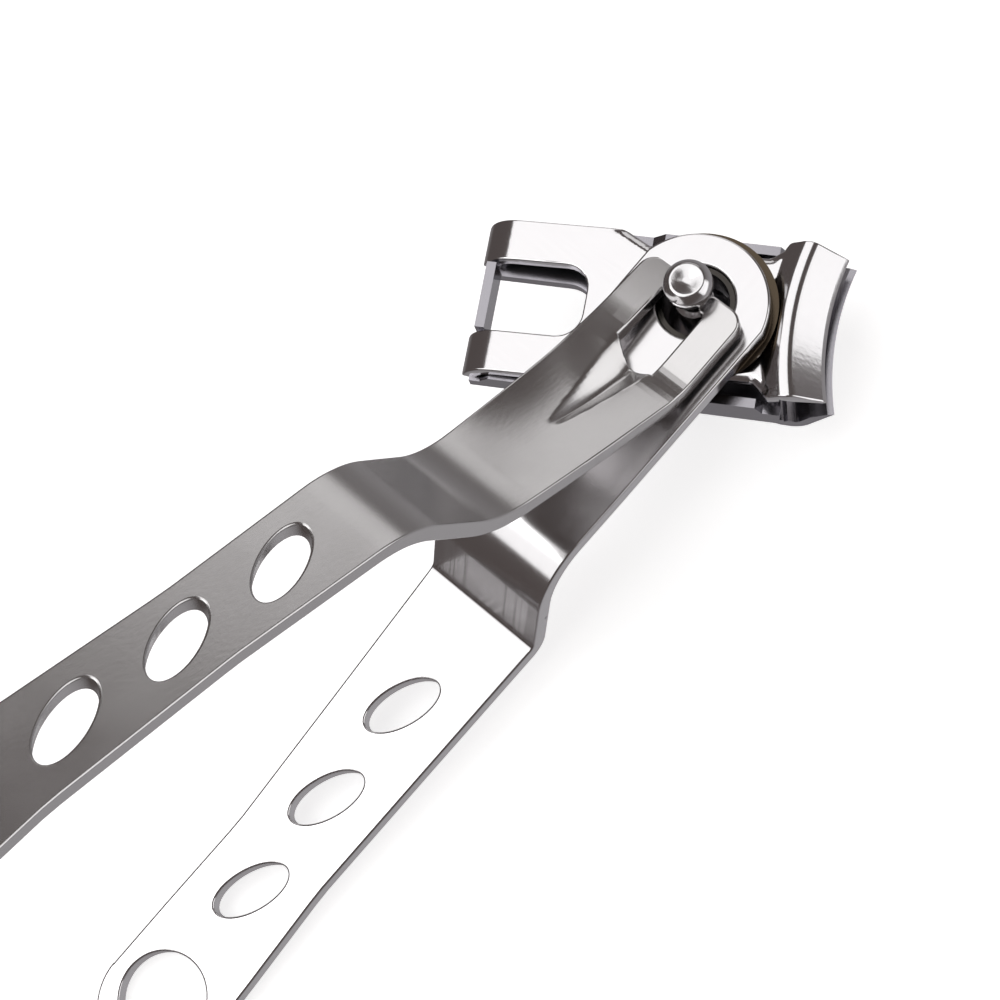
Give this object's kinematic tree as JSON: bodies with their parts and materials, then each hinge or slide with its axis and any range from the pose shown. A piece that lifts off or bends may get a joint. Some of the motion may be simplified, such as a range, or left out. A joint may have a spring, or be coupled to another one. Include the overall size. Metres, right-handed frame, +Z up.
{
  "type": "nail clipper",
  "caption": "Plier-style steel toenail clipper: a swivelling jaw head on a ringed lower handle, closed by an upper lever handle that lifts a pull pin through the head.",
  "frame": {"origin": "centre of the flat underside of the pull pin's foot, on the pin's axis, with the clipper open", "axes": "+Z up along the pin towards its cap; the handles run towards -X; +Y completes a right-handed frame"},
  "size_m": [0.1085, 0.0407, 0.0726],
  "materials": {
    "bright_handle_steel": "bright fine-brushed stainless steel",
    "satin_handle_steel": "darker satin stainless steel",
    "polished_pin_steel": "mirror polish with turning marks",
    "swivel_steel": "polished stainless steel",
    "jaw_steel": "polished plate, ground and brushed blade",
    "spring_steel": "bright drawn wire"
  },
  "bodies": {
    "lower_handle": {"lower_handle": "bright_handle_steel"},
    "lever": {"upper_handle": "satin_handle_steel"},
    "swivel_head": {"upper_jaw": "jaw_steel", "swivel_washer": "swivel_steel", "swivel_eyelet": "swivel_steel", "jaw_spring": "spring_steel"},
    "pull_pin": {"pivot_pin": "polished_pin_steel"},
    "lower_jaw": {"lower_jaw": "jaw_steel"}
  },
  "joints": [
    {"name": "lever_squeeze", "type": "hinge", "parent": "lower_handle", "child": "lever", "pos_m": [-0.008, 0, 0.01035], "axis": [0, -1, 0], "range_deg": [0, 18], "stiffness_Nm_per_rad": 0.6, "springref_deg": -2.29},
    {"name": "head_swivel", "type": "hinge", "parent": "lower_handle", "child": "swivel_head", "pos_m": [0, 0, 0.0099], "axis": [0, 0, 1], "continuous": true},
    {"name": "pin_lift", "type": "slide", "parent": "swivel_head", "child": "pull_pin", "axis": [0, 0, 1], "range_m": [0, 0.00166]},
    {"name": "jaw_close", "type": "hinge", "parent": "swivel_head", "child": "lower_jaw", "pos_m": [-0.01169, 0.01946, 0.0052], "axis": [-0.8572, -0.515, 0], "range_deg": [0, 4.2], "deforming": ["jaw_spring"]}
  ],
  "couplings": [
    {"joint": "pin_lift", "follows": "lever_squeeze", "m_per_rad": 0.0052919},
    {"joint": "jaw_close", "follows": "lever_squeeze", "ratio": 0.23333}
  ]
}
